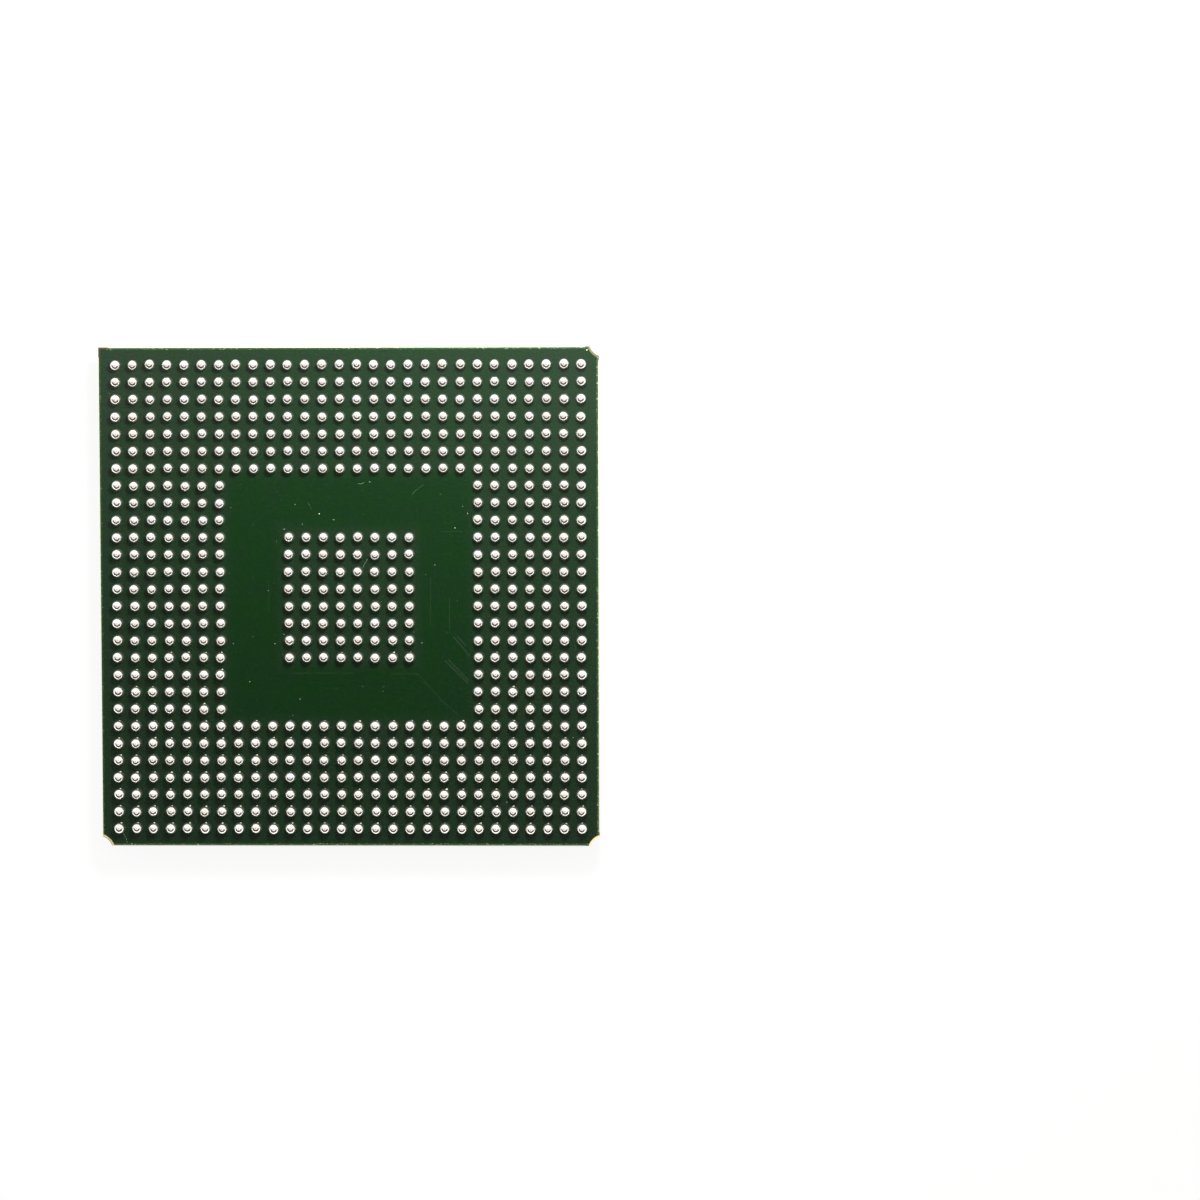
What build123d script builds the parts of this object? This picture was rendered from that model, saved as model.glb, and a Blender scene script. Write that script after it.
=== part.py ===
from build123d import *
import os
from math import asin, cos, pi, radians, sin, sqrt, tan

# A wire-bonded ball grid array package. It lies on its moulded face with the solder balls up.
# The origin is the middle of the moulded face, X and Y follow the ball grid, and +Z leads to the balls.

# Laminate board: a glass and resin core with copper and solder mask on both faces
core_thickness = 0.49
copper_thickness = 0.02
mask_over_copper = 0.015
mask_setback = 0.045
corner_hole_diameter = 1.9
corner_cut_length = 0.58
corner_mask_relief = 0.14

# Ball grid: full outer rings, a bare band, and a small block in the middle
ball_pitch = 1.0668
balls_per_side = 28
outer_rings = 7
centre_balls_per_side = 8
edge_to_ball = 1.0982
ball_height = 0.53
land_diameter = 0.50

# Heat vias between the balls of the middle block
via_diameter = 0.30

# Mould cap
cap_margin = 2.5
cap_height = 1.17
cap_draft = 30.0
cap_corner_cut = 1.4
cap_edge_bevel = 0.10
dimple_diameter = 1.6
dimple_depth = 0.08
dimple_inset = 2.6

# Mould gate: a gold strip from the board's uncut corner to under the cap
gate_width = 1.5
gate_overlap = 0.6

# Die and the film that holds it
die_side = 8.5
die_thickness = 0.30
attach_thickness = 0.03
attach_inset = 0.10

# Copper rings and bond fingers around the die, in a window of the mask
ring_width = 0.30
ring_gap = 0.20
finger_width = 0.15
finger_length = 0.90
finger_pitch = 0.32
window_clearance = 0.25

# Bond wires, from a row of pads along each edge of the die
wire_thickness = 0.03
wire_loop_height = 0.20
wire_shoulder = 0.45
bond_pad_inset = 0.12
bond_row_end_gap = 0.35
stitch_length = 0.15

# Heights of the stack, from the moulded face up
mask_thickness = copper_thickness + mask_over_copper
core_bottom = cap_height + mask_thickness
core_top = core_bottom + core_thickness
mask_top = core_top + mask_thickness
finger_face = core_bottom - copper_thickness
die_back = cap_height - attach_thickness
die_face = die_back - die_thickness

# Outlines of the board and of what the cap covers
board_side = ball_pitch * (balls_per_side - 1) + 2 * edge_to_ball
cap_side = board_side - 2 * cap_margin
ground_ring_start = die_side / 2 + ring_gap
power_ring_start = ground_ring_start + ring_width + ring_gap
finger_start = power_ring_start + ring_width + ring_gap
finger_end = finger_start + finger_length
window_start = ground_ring_start - ring_gap / 2
window_end = finger_end + window_clearance

# Each side has as many fingers as fit between its neighbours, and a bond pad for each of them
fingers_per_side = int((2 * finger_start - finger_width) / finger_pitch)
bond_pad_pitch = (die_side - 2 * bond_row_end_gap) / (fingers_per_side - 1)

# The first corner of the grid, A1, is at minus X and plus Y. Tooling holes cut the other three.
# Each hole's middle lies outside the board, as far past both edges
corner = board_side / 2
corner_hole_radius = corner_hole_diameter / 2
hole_place = corner + (sqrt(2 * corner_hole_radius**2 - corner_cut_length**2) - corner_cut_length) / 2
cut_corners = [(hole_place, hole_place), (hole_place, -hole_place), (-hole_place, -hole_place)]

# Row letters leave out those that are mistaken for numbers
single_letters = list("abcdefghjklmnprtuvwy")
row_letters = single_letters + ["a" + letter for letter in single_letters]


def grid_position(index):
    """Distance of a row or a column from the middle of the grid."""
    return (index - (balls_per_side - 1) / 2) * ball_pitch


def has_ball(column, row):
    """The outer rings and the middle block are full, and the band between them is bare."""
    ring = min(column, row, balls_per_side - 1 - column, balls_per_side - 1 - row)
    centre_ring = (balls_per_side - centre_balls_per_side) // 2
    return ring < outer_rings or ring >= centre_ring


def ball_points(row):
    """Places of the balls along one row. Row 0 is row A, at plus Y."""
    y = -grid_position(row)
    return [(grid_position(column), y) for column in range(balls_per_side) if has_ball(column, row)]


all_ball_points = [point for row in range(balls_per_side) for point in ball_points(row)]

# Substrate core: a square sheet, sawn from a panel whose tooling holes leave three cut corners
via_places = GridLocations(ball_pitch, ball_pitch, centre_balls_per_side - 1, centre_balls_per_side - 1)
with BuildPart() as substrate_core:
    with BuildSketch(Plane.XY.offset(core_bottom)):
        Rectangle(board_side, board_side)
        with Locations(*cut_corners):
            Circle(corner_hole_radius, mode=Mode.SUBTRACT)
    extrude(amount=core_thickness)
    with BuildSketch(Plane.XY.offset(core_bottom)):
        with Locations(*via_places.locations):
            Circle(via_diameter / 2)
    extrude(amount=core_thickness, mode=Mode.SUBTRACT)
substrate_core.part.label = "substrate_core"

# Heat vias: copper plugs that lead the die's heat to the balls of the middle block
with BuildPart() as heat_vias:
    with BuildSketch(Plane.XY.offset(core_bottom)):
        with Locations(*via_places.locations):
            Circle(via_diameter / 2)
    extrude(amount=core_thickness)
heat_vias.part.label = "heat_vias"

# Ball side mask: a green sheet with a round opening at each ball
with BuildPart() as ball_side_mask:
    with BuildSketch(Plane.XY.offset(core_top)):
        Rectangle(board_side - 2 * mask_setback, board_side - 2 * mask_setback)
        with Locations(*cut_corners):
            Circle(corner_hole_radius + corner_mask_relief, mode=Mode.SUBTRACT)
    extrude(amount=mask_thickness)
    with Locations(*[(x, y, mask_top) for x, y in all_ball_points]):
        Hole(land_diameter / 2)
ball_side_mask.part.label = "ball_side_mask"

# Ball pads: plated copper lands that fill the openings, level with the mask
with BuildPart() as ball_pads:
    with Locations(*[(x, y, core_top) for x, y in all_ball_points]):
        Cylinder(land_diameter / 2, mask_thickness, align=(Align.CENTER, Align.CENTER, Align.MIN))
ball_pads.part.label = "ball_pads"

# Solder ball: reflow leaves a sphere that is cut off by its land
land_radius = land_diameter / 2
ball_radius = (ball_height**2 + land_radius**2) / (2 * ball_height)
ball_centre = mask_top + ball_height - ball_radius
waist_angle = (pi / 2 + asin((mask_top - ball_centre) / ball_radius)) / 2
with BuildPart() as solder_ball:
    with BuildSketch(Plane.XZ):
        with BuildLine():
            Polyline((0, mask_top + ball_height), (0, mask_top), (land_radius, mask_top))
            ThreePointArc(
                (land_radius, mask_top),
                (ball_radius * cos(waist_angle), ball_centre + ball_radius * sin(waist_angle)),
                (0, mask_top + ball_height),
            )
        make_face()
    revolve(axis=Axis.Z)

# Ball rows: each row of the grid is one piece of the list, named by its row letter
ball_rows = {}
for row in range(balls_per_side):
    with BuildPart() as ball_row:
        with Locations(*ball_points(row)):
            add(solder_ball.part)
    ball_row.part.label = "balls_row_" + row_letters[row]
    ball_rows[ball_row.part.label] = ball_row.part

# Mould gate: it lies in a slot of the mask along the diagonal, and its outer end has the board's corner
gate_end = corner * sqrt(2)
gate_start = (cap_side - cap_corner_cut) / sqrt(2) - gate_overlap
gate_middle = (gate_start + gate_end) / 2
with BuildPart() as mould_gate:
    with BuildSketch(Plane.XY.offset(cap_height)):
        with Locations(Location((-gate_middle / sqrt(2), gate_middle / sqrt(2)), -45)):
            Rectangle(gate_end - gate_start, gate_width)
        Rectangle(board_side - 2 * mask_setback, board_side - 2 * mask_setback, mode=Mode.INTERSECT)
    extrude(amount=mask_thickness)
mould_gate.part.label = "mould_gate"

# Die side mask: its window bares the rings and the fingers, and leaves an island under the die
with BuildPart() as die_side_mask:
    with BuildSketch(Plane.XY.offset(cap_height)):
        Rectangle(board_side - 2 * mask_setback, board_side - 2 * mask_setback)
        with Locations(*cut_corners):
            Circle(corner_hole_radius + corner_mask_relief, mode=Mode.SUBTRACT)
        Rectangle(2 * window_end, 2 * window_end, mode=Mode.SUBTRACT)
        Rectangle(2 * window_start, 2 * window_start)
    extrude(amount=mask_thickness)
    add(mould_gate.part, mode=Mode.SUBTRACT)
die_side_mask.part.label = "die_side_mask"

# Ground ring: the inner copper frame around the die
with BuildPart() as ground_ring:
    with BuildSketch(Plane.XY.offset(finger_face)):
        Rectangle(2 * (ground_ring_start + ring_width), 2 * (ground_ring_start + ring_width))
        Rectangle(2 * ground_ring_start, 2 * ground_ring_start, mode=Mode.SUBTRACT)
    extrude(amount=copper_thickness)
ground_ring.part.label = "ground_ring"

# Power ring: the outer copper frame
with BuildPart() as power_ring:
    with BuildSketch(Plane.XY.offset(finger_face)):
        Rectangle(2 * (power_ring_start + ring_width), 2 * (power_ring_start + ring_width))
        Rectangle(2 * power_ring_start, 2 * power_ring_start, mode=Mode.SUBTRACT)
    extrude(amount=copper_thickness)
power_ring.part.label = "power_ring"

# Bond fingers: a row of copper strips on each side, square to the die's edge
with BuildPart() as bond_fingers:
    with BuildSketch(Plane.XY.offset(finger_face)):
        with PolarLocations(finger_start + finger_length / 2, 4):
            with GridLocations(finger_length, finger_pitch, 1, fingers_per_side):
                Rectangle(finger_length, finger_width)
    extrude(amount=copper_thickness)
bond_fingers.part.label = "bond_fingers"

# Die attach: a thin cured film a little smaller than the die
with BuildPart() as die_attach:
    with BuildSketch(Plane.XY.offset(die_back)):
        Rectangle(die_side - 2 * attach_inset, die_side - 2 * attach_inset)
    extrude(amount=attach_thickness)
die_attach.part.label = "die_attach"

# Silicon die: its active face looks down, away from the board
with BuildPart() as silicon_die:
    with BuildSketch(Plane.XY.offset(die_face)):
        Rectangle(die_side, die_side)
    extrude(amount=die_thickness)
silicon_die.part.label = "silicon_die"

# Bond wires of one side: each rises from its pad, runs level over the die's edge and comes down to its finger
pad_x = die_side / 2 - bond_pad_inset
finger_x = finger_start + finger_length / 2
with BuildPart() as wire_side:
    for index in range(fingers_per_side):
        place = index - (fingers_per_side - 1) / 2
        bond = Vector(pad_x, place * bond_pad_pitch)
        run = Vector(finger_x, place * finger_pitch) - bond
        wire_plane = Plane(origin=bond, x_dir=run, z_dir=run.cross(Vector(0, 0, 1)))
        with BuildSketch(wire_plane):
            with BuildLine():
                Polyline(
                    (0, die_face),
                    (0, die_face - wire_loop_height),
                    (wire_shoulder, die_face - wire_loop_height),
                    (run.length - stitch_length, finger_face - wire_thickness / 2),
                    (run.length, finger_face - wire_thickness / 2),
                )
            trace(line_width=wire_thickness)
    extrude(amount=wire_thickness / 2, both=True)

# The same side, turned about the middle, gives the wires of the other three
bond_wires = {}
for side, turn in {"east": 0, "north": 90, "west": 180, "south": 270}.items():
    with BuildPart() as wires:
        with Locations(Rotation(0, 0, turn)):
            add(wire_side.part)
    wires.part.label = "bond_wires_" + side
    bond_wires[wires.part.label] = wires.part

# Mould cap: one shot of resin with drafted sides, closed around the die, its wires, rings and fingers
cap_face_side = cap_side - 2 * cap_height * tan(radians(cap_draft))
dimple_place = cap_face_side / 2 - dimple_inset
with BuildPart() as mould_cap:
    with BuildSketch(Plane(origin=(0, 0, cap_height), x_dir=(1, 0, 0), z_dir=(0, 0, -1))) as cap_root:
        Rectangle(cap_side, cap_side)
        chamfer(cap_root.vertices(), length=cap_corner_cut)
    extrude(amount=cap_height, taper=cap_draft)
    chamfer(mould_cap.edges().group_by(Axis.Z)[0], length=cap_edge_bevel)
    with BuildSketch(Plane.XY):
        with Locations((-dimple_place, dimple_place)):
            Circle(dimple_diameter / 2)
    extrude(amount=dimple_depth, mode=Mode.SUBTRACT)
    with BuildSketch(Plane.XY.offset(cap_height)):
        Rectangle(2 * window_end, 2 * window_end)
        Rectangle(2 * window_start, 2 * window_start, mode=Mode.SUBTRACT)
    extrude(amount=mask_thickness)
    add([die_attach.part, silicon_die.part], mode=Mode.SUBTRACT)
    add([ground_ring.part, power_ring.part, bond_fingers.part], mode=Mode.SUBTRACT)
    add(list(bond_wires.values()), mode=Mode.SUBTRACT)
mould_cap.part.label = "mould_cap"

# Write each piece to its own file
pieces = [substrate_core, heat_vias, ball_side_mask, die_side_mask, ball_pads, mould_gate]
pieces += [ground_ring, power_ring, bond_fingers, die_attach, silicon_die, mould_cap]
os.makedirs("parts", exist_ok=True)
for part in [piece.part for piece in pieces] + list(bond_wires.values()) + list(ball_rows.values()):
    export_step(part, f"parts/{part.label}.step")
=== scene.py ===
import math
import random

import bpy
from mathutils import Euler, Matrix, Vector


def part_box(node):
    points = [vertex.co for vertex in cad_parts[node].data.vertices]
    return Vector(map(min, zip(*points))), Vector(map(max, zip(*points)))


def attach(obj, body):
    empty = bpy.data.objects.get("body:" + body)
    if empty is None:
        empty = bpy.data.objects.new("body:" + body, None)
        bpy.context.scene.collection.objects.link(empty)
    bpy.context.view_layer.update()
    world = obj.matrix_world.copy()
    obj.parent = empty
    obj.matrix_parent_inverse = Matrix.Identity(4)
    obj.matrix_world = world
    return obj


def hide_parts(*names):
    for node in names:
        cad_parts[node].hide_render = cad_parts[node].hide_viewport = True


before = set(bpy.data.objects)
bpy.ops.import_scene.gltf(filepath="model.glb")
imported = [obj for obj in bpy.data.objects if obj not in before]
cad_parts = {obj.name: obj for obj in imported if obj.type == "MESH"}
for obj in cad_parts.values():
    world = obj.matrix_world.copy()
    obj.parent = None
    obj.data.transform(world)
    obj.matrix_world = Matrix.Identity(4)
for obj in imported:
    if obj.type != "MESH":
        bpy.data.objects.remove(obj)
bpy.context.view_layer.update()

# Camera: a short telephoto high over the balls. The package lies left of the picture's middle,
# as in the photograph, so the camera stands to its right and leans a few degrees.
millimetre = 0.001
camera_data = bpy.data.cameras.new("camera")
camera_data.lens = 100
camera_data.clip_start = 0.01
camera = bpy.data.objects.new("camera", camera_data)
camera.location = Vector((19.88, 10.98, 207.83)) * millimetre
camera.rotation_euler = Euler([math.radians(a) for a in (-3.1, 1.2, -0.1)])
bpy.context.scene.collection.objects.link(camera)
bpy.context.scene.camera = camera
bpy.context.scene.view_settings.view_transform = "Standard"


# Studio: a pale table in a light tent. Each ball mirrors the dark front panel as a crescent and the
# bright strip under it as a rim. The dark port for the lens keeps the glossy mask deep green. The lamp,
# behind on the right, shows in no mirror: it lights the mask and casts the balls' shadows.
class Shade:
    """One socket of a node tree. Sums on it add Math nodes."""

    def __init__(self, tree, socket=None):
        self.tree = tree
        self.socket = socket

    def node(self, kind, settings=None, inputs=None, output=0):
        """Adds a node of any kind: its settings come first, then the values or links of its sockets."""
        made = self.tree.nodes.new(kind)
        for name, value in (settings or {}).items():
            setattr(made, name, value)
        for name, value in (inputs or {}).items():
            if isinstance(value, Shade):
                self.tree.links.new(value.socket, made.inputs[name])
            else:
                made.inputs[name].default_value = value
        return Shade(self.tree, made.outputs[output] if made.outputs else None)

    def sum_of(self, operation, *values):
        return self.node("ShaderNodeMath", {"operation": operation}, dict(enumerate(values)))

    def math(self, operation, *others):
        return self.sum_of(operation, self, *others)

    def __add__(self, other):
        return self.math("ADD", other)

    def __sub__(self, other):
        return self.math("SUBTRACT", other)

    def __rsub__(self, other):
        return self.sum_of("SUBTRACT", other, self)

    def __mul__(self, other):
        return self.math("MULTIPLY", other)

    def __truediv__(self, other):
        return self.math("DIVIDE", other)

    __radd__ = __add__
    __rmul__ = __mul__

    def rise(self, low, high):
        """0 at low and 1 at high, eased at both ends. High may lie below low."""
        if low < high:
            return self.node("ShaderNodeMapRange", {"interpolation_type": "SMOOTHSTEP"},
                             {"Value": self, "From Min": low, "From Max": high})
        return 1 - self.rise(high, low)

    def mix(self, low, high):
        """A colour that goes from low at 0 to high at 1. The node has its colours on sockets 6 and 7."""
        colours = {"Factor": self, 6: low, 7: high}
        return self.node("ShaderNodeMix", {"data_type": "RGBA"}, colours, 2)

    def axis(self, name):
        """One coordinate of a vector."""
        return self.node("ShaderNodeSeparateXYZ", None, {0: self}, name)


def rgb(red, green, blue):
    return (red, green, blue, 1)


white = rgb(1, 1, 1)
tent_top = rgb(1.04, 1.04, 1.03)
tent_back = rgb(1.15, 1.15, 1.14)
tent_left = rgb(0.52, 0.52, 0.52)
tent_right = rgb(1.00, 1.00, 0.99)
tent_panel = rgb(0.03, 0.014, 0.004)
tent_foot = rgb(3.60, 3.40, 3.10)
tent_rear_foot = rgb(2.20, 2.20, 2.15)
tent_port = rgb(0.03, 0.03, 0.03)
port_towards = Vector((-0.105, -0.108, 1)).normalized()
world = bpy.data.worlds.new("studio")
bpy.context.scene.world = world
world.use_nodes = True
world.node_tree.nodes.clear()
sky = Shade(world.node_tree)
direction = sky.node("ShaderNodeTexCoord", None, None, "Generated")
across, along, height = (direction.axis(name) for name in "XYZ")
level_length = (across * across + along * along + 1e-6).math("SQRT")
forwards = 0 - along / level_length
backwards = 0 - forwards
glow = (across / level_length).rise(-0.6, 0.6).mix(tent_left, tent_right)
glow = backwards.rise(-0.05, 0.55).mix(glow, tent_back)
glow = height.rise(0.70, 0.84).mix(glow, tent_top)
front = forwards.rise(-0.10, 0.45)
glow = (front * height.rise(0.84, 0.72)).mix(glow, tent_panel)
glow = (front * height.rise(0.17, 0.09)).mix(glow, tent_foot)
glow = (backwards.rise(0.2, 0.8) * height.rise(0.30, 0.15)).mix(glow, tent_rear_foot)
towards = direction.node("ShaderNodeVectorMath", {"operation": "DOT_PRODUCT"},
                         {0: direction, 1: port_towards}, 1)
glow = towards.rise(0.9850, 0.9930).mix(glow, tent_port)
seen = sky.node("ShaderNodeLightPath", None, None, "Is Camera Ray")
colour = seen.mix(glow, white)
background = sky.node("ShaderNodeBackground", None, {"Color": colour, "Strength": 1.0})
sky.node("ShaderNodeOutputWorld", None, {"Surface": background})

lamp_data = bpy.data.lights.new("key", "AREA")
lamp_data.shape = "DISK"
lamp_data.size = 0.018
lamp_data.energy = 0.051
lamp_data.color = (1.0, 0.985, 0.96)
lamp = bpy.data.objects.new("key", lamp_data)
lamp.location = (0.014, 0.037, 0.040)
lamp_aim = Vector((0, 0.010, 0))
lamp.rotation_euler = (lamp_aim - lamp.location).to_track_quat("-Z", "Y").to_euler()
lamp.visible_camera = False
lamp.visible_glossy = False
bpy.context.scene.collection.objects.link(lamp)


def material(name):
    """A new material and the shade that its nodes start from."""
    made = bpy.data.materials.new(name)
    made.use_nodes = True
    made.node_tree.nodes.clear()
    return made, Shade(made.node_tree)


def start(operator, **size):
    """A new primitive with nothing else selected."""
    bpy.ops.object.select_all(action="DESELECT")
    operator(**size)
    return bpy.context.object


floor = start(bpy.ops.mesh.primitive_plane_add, size=6)
floor.name = "floor"
floor_material, shade = material("floor")
paper = shade.node("ShaderNodeBsdfDiffuse", None, {"Color": rgb(0.82, 0.82, 0.81)})
ray = shade.node("ShaderNodeLightPath", None, None, "Is Camera Ray")
shine = shade.node("ShaderNodeLightPath", None, None, "Is Glossy Ray")
through = shade.node("ShaderNodeLightPath", None, None, "Is Transmission Ray")
plain_share = 0.86
plain_strength = 1.03
shown = (ray + shine + through).math("MINIMUM", 1) * plain_share
plain = shade.node("ShaderNodeEmission", None, {"Color": white, "Strength": plain_strength})
table_top = shade.node("ShaderNodeMixShader", None, {0: shown, 1: paper, 2: plain})
shade.node("ShaderNodeOutputMaterial", None, {"Surface": table_top})
floor.data.materials.append(floor_material)


# Laminate core: glass cloth in cured resin, sawn from a panel, so its edge shows thin brown
# and cream layers. The mask stops short of the saw line and of the tooling holes at three corners,
# and bares a cream face there with a brown ring round each hole.
def object_place(shade):
    return shade.node("ShaderNodeTexCoord", None, None, "Object")


def noise(place, size, detail=2.0, roughness=0.5, stretch=(1, 1, 1)):
    """Noise with features about as large as size, in metres."""
    scaled = place.node("ShaderNodeMapping", None, {"Vector": place, "Scale": stretch})
    values = {"Vector": scaled, "Scale": 1 / size, "Detail": detail, "Roughness": roughness}
    return place.node("ShaderNodeTexNoise", None, values, 0)


def surface(shade, **sockets):
    """A Principled surface. Colours and numbers that are the same all over go on its own sockets."""
    values = {name.replace("_", " "): value for name, value in sockets.items()}
    principled = shade.node("ShaderNodeBsdfPrincipled", None, values)
    shade.node("ShaderNodeOutputMaterial", None, {"Surface": principled})


def bump(height, distance):
    """A normal for a relief that is distance deep, in metres."""
    values = {"Height": height, "Distance": distance, "Strength": 1.0}
    return height.node("ShaderNodeBump", None, values)


def dress(names, made):
    """Gives CAD nodes a finish in place of the plain one that they came with."""
    for name in names:
        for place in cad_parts[name].material_slots:
            place.material = made


laminate, shade = material("laminate")
place = object_place(shade)
layer = 0.098 * millimetre
core_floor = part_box("substrate_core")[0].z
depth = ((place.axis("Z") - core_floor) / layer).math("FRACT")
bundle = noise(place, 0.25 * millimetre, 3.0, 0.6, (1, 1, 2.5))
seam = depth.rise(0.30, 0.10) * bundle.rise(0.35, 0.6)
resin = bundle.mix(rgb(0.30, 0.19, 0.07), rgb(0.60, 0.47, 0.22))
edge_colour = seam.mix(resin, rgb(0.72, 0.65, 0.42))
hole_place = 15.816 * millimetre
hole_radius = 0.95 * millimetre
ring_width = 0.14 * millimetre
sideways, lengthways = (place.axis(name).math("ABSOLUTE") - hole_place for name in "XY")
across_ring = (sideways * sideways + lengthways * lengthways).math("SQRT") / ring_width
from_hole = across_ring - hole_radius / ring_width
to_right = place.axis("X").rise(-millimetre, millimetre)
# A brown line: along the hole's edge at the left corners, and along the mask's edge at the right ones.
brown_line = from_hole.rise(0.45, 0.20) * (1 - to_right) + from_hole.rise(0.55, 0.85) * to_right
brown_line = brown_line * bundle.rise(0.25, 0.50)
ring_colour = brown_line.mix(rgb(0.80, 0.68, 0.36), rgb(0.26, 0.13, 0.045))
back_right = to_right * place.axis("Y").rise(-millimetre, millimetre)
ring_colour = (back_right * 0.9).mix(ring_colour, rgb(0.08, 0.09, 0.04))
bare_face = from_hole.rise(2.5, 1.5).mix(rgb(0.68, 0.71, 0.47), ring_colour)
core_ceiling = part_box("substrate_core")[1].z
micrometre = 1e-6
on_face = place.axis("Z").rise(core_ceiling - 3 * micrometre, core_ceiling - micrometre)
laminate_colour = on_face.mix(edge_colour, bare_face)
fuzz = noise(place, 0.03 * millimetre, 2.0)
surface(shade, Base_Color=laminate_colour, Roughness=0.45 + fuzz * 0.3,
        Normal=bump(fuzz + bundle, 4e-6))
dress(["substrate_core"], laminate)

# Heat vias, ball pads, rings and fingers: plated copper, some with a gold flash. They are shut in
# under the mask, the balls and the resin.
copper, shade = material("copper")
place = object_place(shade)
grain = noise(place, 0.05 * millimetre, 3.0)
tone = grain.mix(rgb(0.62, 0.32, 0.19), rgb(0.80, 0.47, 0.30))
surface(shade, Base_Color=tone, Metallic=1.0, Roughness=0.28 + grain * 0.25, Normal=bump(grain, 2e-6))
dress(["heat_vias", "ball_pads"], copper)

gold, shade = material("gold")
place = object_place(shade)
grain = noise(place, 0.04 * millimetre, 3.0)
tone = grain.mix(rgb(0.80, 0.55, 0.20), rgb(0.95, 0.74, 0.36))
surface(shade, Base_Color=tone, Metallic=1.0, Roughness=0.22 + grain * 0.25, Normal=bump(grain, 2e-6))
wire_sides = ["bond_wires_" + side for side in ("east", "north", "west", "south")]
dress(["ground_ring", "power_ring", "bond_fingers", "mould_gate", *wire_sides], gold)

# Die and its film: a polished silicon chip on a grey paste that is cured in an oven. The mould cap
# closes them in.
silicon, shade = material("silicon")
place = object_place(shade)
cells = noise(place, 0.4 * millimetre, 4.0)
surface(shade, Base_Color=cells.mix(rgb(0.10, 0.11, 0.15), rgb(0.22, 0.22, 0.26)), Metallic=0.6,
        Roughness=0.12 + cells * 0.12)
dress(["silicon_die"], silicon)

paste, shade = material("die_attach")
place = object_place(shade)
flakes = noise(place, 0.05 * millimetre, 3.0)
surface(shade, Base_Color=flakes.mix(rgb(0.36, 0.36, 0.35), rgb(0.58, 0.58, 0.56)),
        Roughness=0.5 + flakes * 0.2, Normal=bump(flakes, 3e-6))
dress(["die_attach"], paste)

# Mould cap: black epoxy, pressed into a hot mould round the die and its wires. The mould's
# spark-eroded steel leaves it finely matt.
resin_black, shade = material("mould_resin")
place = object_place(shade)
skin = noise(place, 0.045 * millimetre, 3.0, 0.6)
cloud = noise(place, 1.6 * millimetre, 3.0)
tone = cloud.mix(rgb(0.018, 0.018, 0.020), rgb(0.034, 0.034, 0.037))
surface(shade, Base_Color=tone, Roughness=0.42 + skin * 0.24, Normal=bump(skin, 7e-6))
dress(["mould_cap"], resin_black)

# Solder mask: a thin glossy green coat, screened on both faces and cured. It is uneven in colour,
# thinner and paler along the sawn edges, a little broken there, and flaked off beside one hole. Painted
# shade darkens it towards the front.
# Between the balls a paler, greyer film is partly flux and partly painted sheen, standing for the light
# that the balls reflect onto the mask.
board_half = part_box("substrate_core")[1].x
mask, shade = material("solder_mask")
place = object_place(shade)
patch = noise(place, 1.5 * millimetre, 3.0, 0.55)
mottle = noise(place, 0.16 * millimetre, 3.0, 0.6)
green = patch.rise(0.35, 0.65).mix(rgb(0.0029, 0.0233, 0.0033), rgb(0.0036, 0.0211, 0.0050))
board_reach = 15 * millimetre
# Painted shade: the coat is made darker towards the front, where the lamp behind lights it less.
painted_shade_to_front = place.axis("Y").rise(board_reach, -board_reach)
green = (painted_shade_to_front * 0.40).mix(green, rgb(0.0028, 0.0132, 0.0034))
green = (mottle.rise(0.45, 0.80) * 0.30).mix(green, rgb(0.008, 0.037, 0.012))
sideways, lengthways = (place.axis(name).math("ABSOLUTE") for name in "XY")
outwards = sideways.math("MAXIMUM", lengthways)
inset = board_half - outwards
among_rings = outwards.rise(7.0 * millimetre, 8.2 * millimetre)
among_block = outwards.rise(4.8 * millimetre, 3.8 * millimetre)
# Flux film and painted sheen: the mask among the balls is made paler and greyer, as the balls'
# reflections would light it.
flux_and_sheen = (among_rings + among_block) * (0.09 + mottle * 0.05)
green = flux_and_sheen.mix(green, rgb(0.046, 0.042, 0.050))
broken = noise(place, 0.11 * millimetre, 2.0, 0.6)
edge_side = 0.35 + place.axis("X").rise(-15.3 * millimetre, -14.6 * millimetre) * 0.65
rim = inset.rise(0.20 * millimetre, 0.05 * millimetre) * edge_side * (0.55 + broken * 0.9)
green = (rim.math("MINIMUM", 1) * 0.7).mix(green, rgb(0.045, 0.115, 0.042))
chipped = rim * broken.rise(0.60, 0.68)
green = chipped.math("MINIMUM", 1).mix(green, rgb(0.42, 0.48, 0.30))
flake_place = (14.76 * millimetre, 15.28 * millimetre)
flake_across = place.axis("X") - flake_place[0]
flake_along = place.axis("Y") - flake_place[1]
from_flake = (flake_across * flake_across + flake_along * flake_along * 1.8).math("SQRT")
ragged = from_flake + (broken - 0.5) * 0.16 * millimetre
flaked = ragged.rise(0.042 * millimetre, 0.026 * millimetre)
green = flaked.mix(green, rgb(0.78, 0.77, 0.68))
surface(shade, Base_Color=green, Roughness=0.10 + mottle * 0.08, Normal=bump(mottle + patch, 2.0e-6))
dress(["ball_side_mask", "die_side_mask"], mask)

# Covered tracks: copper tracks of the outer layer, printed over with mask. Only their low rounded
# backs show, as faint lines in the bare band, and the slanting ones at the right stand out a little.
mask_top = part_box("ball_side_mask")[1].z


def pick_faces(piece, wanted):
    """Selects the faces of a piece that pass a test, and stays in edit mode."""
    bpy.ops.object.mode_set(mode="EDIT")
    bpy.ops.mesh.select_mode(type="FACE")
    bpy.ops.mesh.select_all(action="DESELECT")
    bpy.ops.object.mode_set(mode="OBJECT")
    for face in piece.data.polygons:
        face.select = wanted(face)
    bpy.ops.object.mode_set(mode="EDIT")


def shape_kept(piece, finish):
    """Takes the mesh of a finished piece, in its material, for copying."""
    piece.data.materials.append(finish)
    kept = piece.data
    bpy.data.objects.remove(piece)
    return kept


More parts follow.
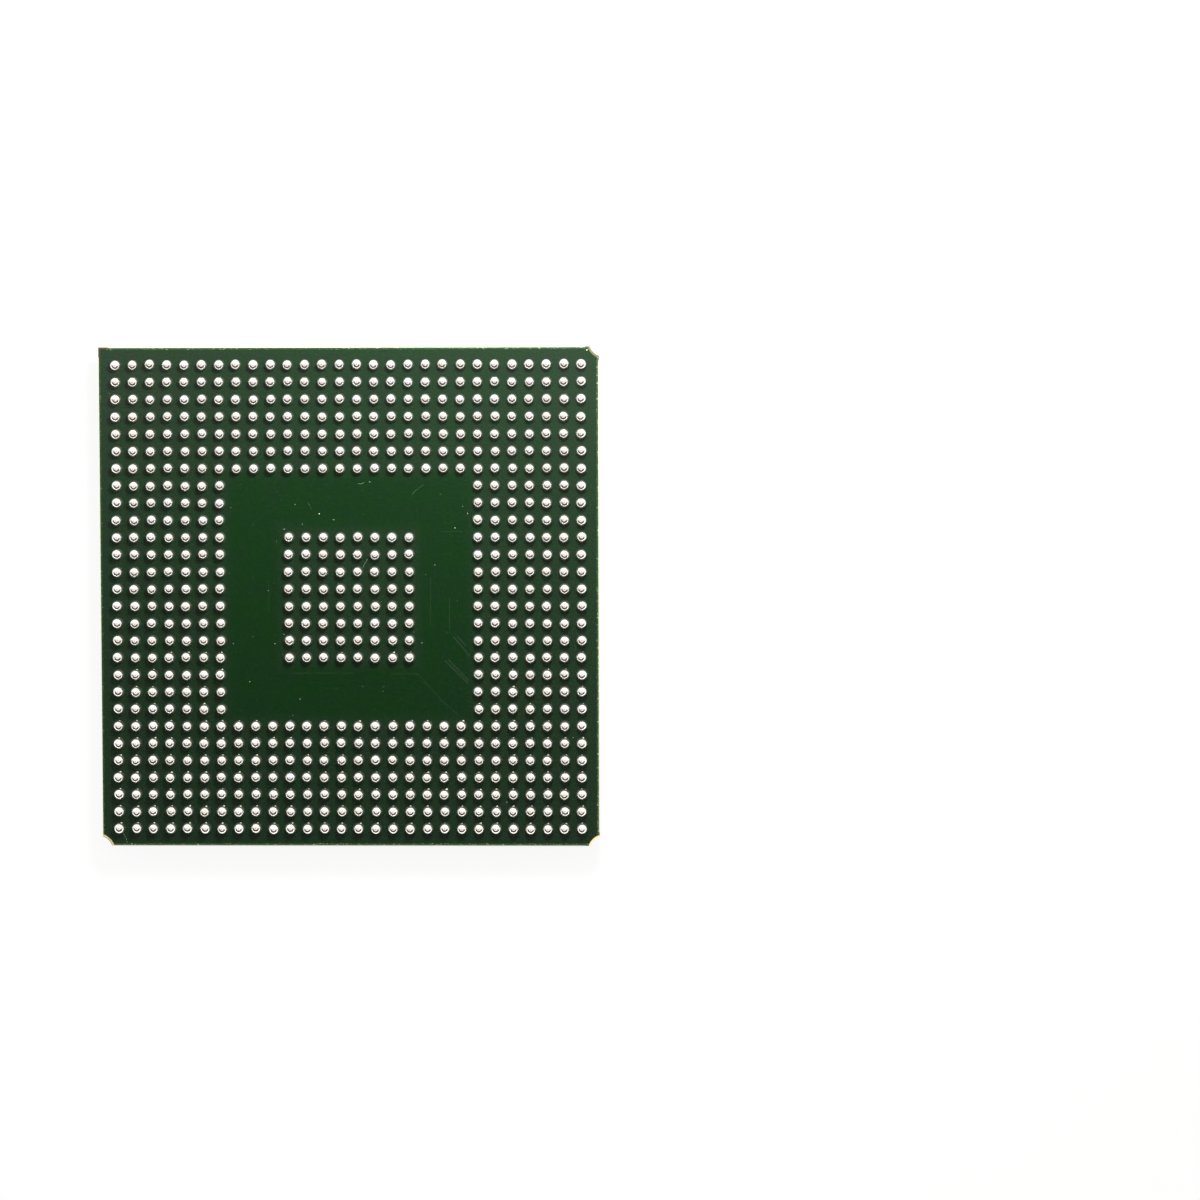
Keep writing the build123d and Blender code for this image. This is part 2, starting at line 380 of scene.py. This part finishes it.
def joined(name, shape, places):
    """One piece made of copies of a shape, each moved to its own place."""
    copies = []
    for move in places:
        mesh = shape.copy()
        mesh.transform(move)
        copy = bpy.data.objects.new(name, mesh)
        bpy.context.scene.collection.objects.link(copy)
        copies.append(copy)
    bpy.ops.object.select_all(action="DESELECT")
    for copy in copies:
        copy.select_set(True)
    bpy.context.view_layer.objects.active = copies[0]
    bpy.ops.object.join()
    piece = bpy.context.object
    piece.name = name
    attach(piece, "root")
    return piece


def between(start_point, end_point, width, height):
    """Lays a shape of unit size on the mask, along the line between two points. All in millimetres."""
    run = Vector(end_point) - Vector(start_point)
    middle = (Vector(end_point) + Vector(start_point)) / 2 * millimetre
    turn = Matrix.Rotation(math.atan2(run.y, run.x), 4, "Z")
    size = Matrix.Diagonal((run.length * millimetre, width * millimetre, height * millimetre, 1))
    return Matrix.Translation((middle.x, middle.y, mask_top)) @ turn @ size


track = start(bpy.ops.mesh.primitive_cube_add, size=1, location=(0, 0, 0.5))
bpy.ops.object.transform_apply(location=True, rotation=True, scale=True)
pick_faces(track, lambda face: face.normal.z > 0.9)
bpy.ops.transform.resize(value=(0.99, 0.4, 1), center_override=(0, 0, 1))
bpy.ops.mesh.bevel(offset=0.12, segments=2)
bpy.ops.object.mode_set(mode="OBJECT")
bpy.ops.object.shade_smooth_by_angle(angle=math.radians(60))
track = shape_kept(track, mask)
faint_size = (0.08, 0.0015)
plain_size = (0.07, 0.0030)
faint_runs = [[(5.02, 1.20), (5.01, -1.85)], [(6.19, -0.06), (6.18, -2.26)],
              [(-3.59, -4.74), (0.19, -4.74)],
              [(2.61, -4.79), (4.22, -4.79), (5.65, -6.40), (6.69, -7.33)],
              [(5.78, 4.03), (6.99, 4.06)], [(-5.02, 0.77), (-5.03, -0.87)]]
plain_runs = [[(6.45, -2.46), (7.44, -3.64)], [(6.66, -2.41), (7.23, -3.03)],
              [(5.92, -3.95), (7.33, -5.33)], [(6.13, -3.89), (7.38, -5.17)]]
laid = [between(*ends, *faint_size) for run in faint_runs for ends in zip(run, run[1:])]
laid += [between(*ends, *plain_size) for run in plain_runs for ends in zip(run, run[1:])]
joined("covered_tracks", track, laid)

# Solder balls: each is melted onto its pad and draws itself round. A freshly frozen ball is satin
# and no two are quite alike: they differ a little in height, width, lean, tarnish and frost.
pitch = 1.0668 * millimetre
ball_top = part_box("balls_row_a")[1].z
land_radius = 0.25 * millimetre
ball_height = ball_top - mask_top
ball_radius = (ball_height ** 2 + land_radius ** 2) / (2 * ball_height)
ball_centre = ball_top - ball_radius

solder, shade = material("solder")
place = object_place(shade)
per_pitch = (1 / pitch, 1 / pitch, 0)
cell = place.node("ShaderNodeVectorMath", {"operation": "MULTIPLY"}, {0: place, 1: per_pitch})
cell = cell.node("ShaderNodeVectorMath", {"operation": "FLOOR"}, {0: cell})
own = cell.node("ShaderNodeTexWhiteNoise", {"noise_dimensions": "3D"}, {"Vector": cell})
frost = noise(place, 0.045 * millimetre, 3.0, 0.6)
dents = noise(place, 0.20 * millimetre, 2.0, 0.5)
tone = own.mix(rgb(0.89, 0.86, 0.80), rgb(0.99, 0.98, 0.955))
tone = (frost.rise(0.35, 0.75) * 0.25).mix(tone, rgb(0.62, 0.57, 0.52))
tarnish = dents.rise(0.58, 0.72) * own.rise(0.3, 0.9)
tone = (tarnish * 0.4).mix(tone, rgb(0.56, 0.48, 0.38))
surface(shade, Base_Color=tone, Metallic=0.96, Roughness=0.09 + own * 0.06 + frost * 0.06,
        Normal=bump(frost * 0.25 + dents, 2.4e-6))

ball = start(bpy.ops.mesh.primitive_uv_sphere_add, segments=16, ring_count=6, radius=ball_radius,
             location=(0, 0, ball_centre))
bpy.ops.object.transform_apply(location=True, rotation=True, scale=True)
bpy.ops.object.mode_set(mode="EDIT")
bpy.ops.mesh.select_all(action="SELECT")
bpy.ops.mesh.bisect(plane_co=(0, 0, mask_top), plane_no=(0, 0, 1), clear_inner=True, use_fill=True)
bpy.ops.object.mode_set(mode="OBJECT")
bpy.ops.object.shade_smooth_by_angle(angle=math.radians(50))
ball = shape_kept(ball, solder)

balls_per_side = 28
last_ball = balls_per_side - 1
grid_middle = (balls_per_side - 1) / 2
full_rings = 7
block_ring = 10


def has_ball(row, column):
    """True in the full outer rings and in the block, and false in the bare band between them."""
    ring = min(column, row, last_ball - column, last_ball - row)
    return not full_rings <= ring < block_ring


# How the balls differ: in place by so many millimetres, and in shape by these shares of a true ball.
place_error = 0.02
ball_widths = (1.04, 1.08)
out_of_round = (0.985, 1.015)
ball_heights = (0.955, 1.0)
ball_leans = (-0.06, 0.06)
single_letters = list("abcdefghjklmnprtuvwy")
row_letters = single_letters + ["a" + letter for letter in single_letters]
draw = random.Random(7)
on_pad = Matrix.Translation((0, 0, mask_top))
for row in range(balls_per_side):
    letter = row_letters[row]
    melted = []
    for column in range(balls_per_side):
        if not has_ball(row, column):
            continue
        x = (column - grid_middle) * pitch + draw.uniform(-1, 1) * place_error * millimetre
        y = (grid_middle - row) * pitch + draw.uniform(-1, 1) * place_error * millimetre
        width = draw.uniform(*ball_widths)
        length = width * draw.uniform(*out_of_round)
        size = Matrix.Diagonal((width, length, draw.uniform(*ball_heights), 1))
        lean = Matrix.Shear("XY", 4, (draw.uniform(*ball_leans), draw.uniform(*ball_leans)))
        turn = Matrix.Rotation(draw.uniform(0, 2 * math.pi), 4, "Z")
        melted.append(Matrix.Translation((x, y, 0)) @ on_pad @ lean @ turn @ size @ on_pad.inverted())
    solder_row = joined("solder_row_" + letter, ball, melted)
    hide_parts("balls_row_" + letter)

# Painted glints: behind most balls of the front rows a bright pale-gold sliver lies on the mask. It is a
# painted highlight for the light that each ball throws onto the mask there. It lies on the mask's level
# and ends under the solder.
glint_shape = start(bpy.ops.mesh.primitive_cube_add, size=1, location=(0, 0, 0.5))
bpy.ops.object.transform_apply(location=True, rotation=True, scale=True)
pick_faces(glint_shape, lambda face: face.normal.x > 0.9)
bpy.ops.transform.resize(value=(1, 0.28, 1), center_override=(0.5, 0, 0))
bpy.ops.object.mode_set(mode="OBJECT")
glint_finish, shade = material("painted_glints")
place = object_place(shade)
glint_noise = noise(place, 0.08 * millimetre, 2.0)
# Painted highlight: a bright pale gold, standing for the light that the balls throw onto the mask.
surface(shade, Base_Color=glint_noise.mix(rgb(0.66, 0.62, 0.34), rgb(0.98, 0.96, 0.74)),
        Metallic=0.3, Roughness=0.4)
glint_shape = shape_kept(glint_shape, glint_finish)
# A glint's sizes are in millimetres. It starts under its ball and reaches out from the ball's middle,
# a little further with each row towards the front. One that would hardly show isn't made.
first_glint_row = 17
glint_reach = (0.32, 0.365)
more_each_row = 0.003
least_glint = 0.34
under_ball = 0.20
tip_back = 0.02
glint_offset = (-0.05, 0.05)
tip_offset = (0.02, 0.12)
glint_size = (0.21, 0.003)
glints = []
for row in range(first_glint_row, balls_per_side):
    for column in range(balls_per_side):
        reach = draw.uniform(*glint_reach) + (row - first_glint_row) * more_each_row
        if not has_ball(row, column) or reach < least_glint:
            continue
        x = (column - grid_middle) * pitch / millimetre + draw.uniform(*glint_offset)
        y = (grid_middle - row) * pitch / millimetre
        tip = (x + draw.uniform(*tip_offset), y + reach - tip_back)
        glints.append(between((x, y + under_ball), tip, *glint_size))
joined("painted_glints", glint_shape, glints)

# Solder crumbs: splashes and flux specks that the reflow leaves on the mask, some pale and some dull,
# from a hundredth to a tenth of a millimetre across. They are stuck fast where they froze.
crumb_finish, shade = material("solder_crumbs")
place = object_place(shade)
ash = noise(place, 0.03 * millimetre, 3.0)
dull = noise(place, 0.6 * millimetre, 1.0)
tone = dull.rise(0.38, 0.54).mix(rgb(0.20, 0.26, 0.18), rgb(0.92, 0.92, 0.86))
surface(shade, Base_Color=tone, Metallic=0.1, Roughness=0.45 + ash * 0.3, Normal=bump(ash, 3e-6))

crumb = start(bpy.ops.mesh.primitive_ico_sphere_add, subdivisions=1, radius=0.5)
bpy.ops.object.mode_set(mode="EDIT")
bpy.ops.mesh.select_all(action="SELECT")
bpy.ops.transform.vertex_random(offset=0.08, seed=3)
bpy.ops.mesh.bisect(plane_co=(0, 0, -0.2), plane_no=(0, 0, 1), clear_inner=True, use_fill=True)
bpy.ops.mesh.select_all(action="SELECT")
bpy.ops.transform.translate(value=(0, 0, 0.2))
bpy.ops.object.mode_set(mode="OBJECT")
bpy.ops.object.transform_apply(location=True, rotation=True, scale=True)
crumb = shape_kept(crumb, crumb_finish)
seen_crumbs = [(-7.34, 5.57, 0.05), (-3.34, 5.76, 0.05), (-1.84, 5.18, 0.09), (-0.94, 4.81, 0.05),
               (-2.90, 4.54, 0.05), (-4.03, 4.22, 0.06), (1.28, 7.16, 0.05), (0.84, 6.61, 0.04),
               (5.66, 6.40, 0.05), (7.06, 5.64, 0.05), (7.36, 5.20, 0.08), (6.56, 4.30, 0.06),
               (-7.47, 1.51, 0.05), (-5.04, 0.41, 0.045), (4.73, 1.42, 0.05), (5.32, 2.01, 0.05),
               (-7.24, -2.87, 0.06), (-4.66, -2.89, 0.07), (-4.09, -2.30, 0.05), (-6.24, -5.25, 0.06),
               (-3.12, -6.34, 0.05), (-3.57, -7.33, 0.06), (0.80, -5.53, 0.06), (4.50, -2.82, 0.04),
               (4.00, -2.15, 0.04), (-14.85, 12.65, 0.07), (9.73, -12.76, 0.07), (13.86, -8.72, 0.06),
               (15.33, 2.40, 0.06)]
fine_crumbs = 60
fine_widths = (0.015, 0.030)
band_reach = 7.3
draw = random.Random(11)
crumbs = list(seen_crumbs)
for speck in range(fine_crumbs):
    crumbs.append((draw.uniform(-band_reach, band_reach), draw.uniform(-band_reach, band_reach),
                   draw.uniform(*fine_widths)))
# A crumb glints wider than it is, so it is made narrower than it looks.
true_share = 0.68
length_shares = (0.8, 1.6)
flatness = 0.45
sunk = 2 * micrometre
stuck = []
for x, y, width in crumbs:
    across = width * true_share
    spot = Matrix.Translation((x * millimetre, y * millimetre, mask_top - sunk))
    turn = Matrix.Rotation(draw.uniform(0, 2 * math.pi), 4, "Z")
    size = Matrix.Diagonal((across * draw.uniform(*length_shares), across, across * flatness, 1))
    stuck.append(spot @ turn @ size @ Matrix.Scale(millimetre, 4))
joined("solder_crumbs", crumb, stuck)

# Handling scuffs: two short scrapes and a few scratches as fine as a hair, where the mask is rubbed
# white and stands up in a thin burr.
scuff_finish, shade = material("scuffs")
place = object_place(shade)
rubbed = noise(place, 0.05 * millimetre, 2.0)
surface(shade, Base_Color=rubbed.mix(rgb(0.16, 0.28, 0.18), rgb(0.50, 0.62, 0.52)), Roughness=0.6,
        Normal=bump(rubbed, 2e-6))
scuff = start(bpy.ops.mesh.primitive_cube_add, size=1, location=(0, 0, 0.5))
bpy.ops.object.transform_apply(location=True, rotation=True, scale=True)
pick_faces(scuff, lambda face: abs(face.normal.x) > 0.9)
bpy.ops.transform.resize(value=(1, 0.2, 1), center_override=(0, 0, 0))
bpy.ops.object.mode_set(mode="OBJECT")
scuff = shape_kept(scuff, scuff_finish)
scrape_size = (0.05, 0.008)
hair_height = 0.006
scrapes = [[(0.57, 7.06), (0.78, 7.02), (0.94, 7.12)], [(1.34, 7.15), (1.38, 7.17)]]
hairs = [(0.030, [(-14.28, -14.62), (-14.10, -14.92), (-14.02, -15.12), (-13.97, -15.32)]),
         (0.030, [(0.83, 1.87), (1.14, 2.39)]), (0.016, [(3.86, 6.25), (4.12, 6.61), (4.64, 6.96)]),
         (0.016, [(-2.52, 5.90), (-2.34, 5.45)])]
scraped = [between(*ends, *scrape_size) for run in scrapes for ends in zip(run, run[1:])]
scraped += [between(*ends, width, hair_height) for width, run in hairs for ends in zip(run, run[1:])]
joined("scuffs", scuff, scraped)
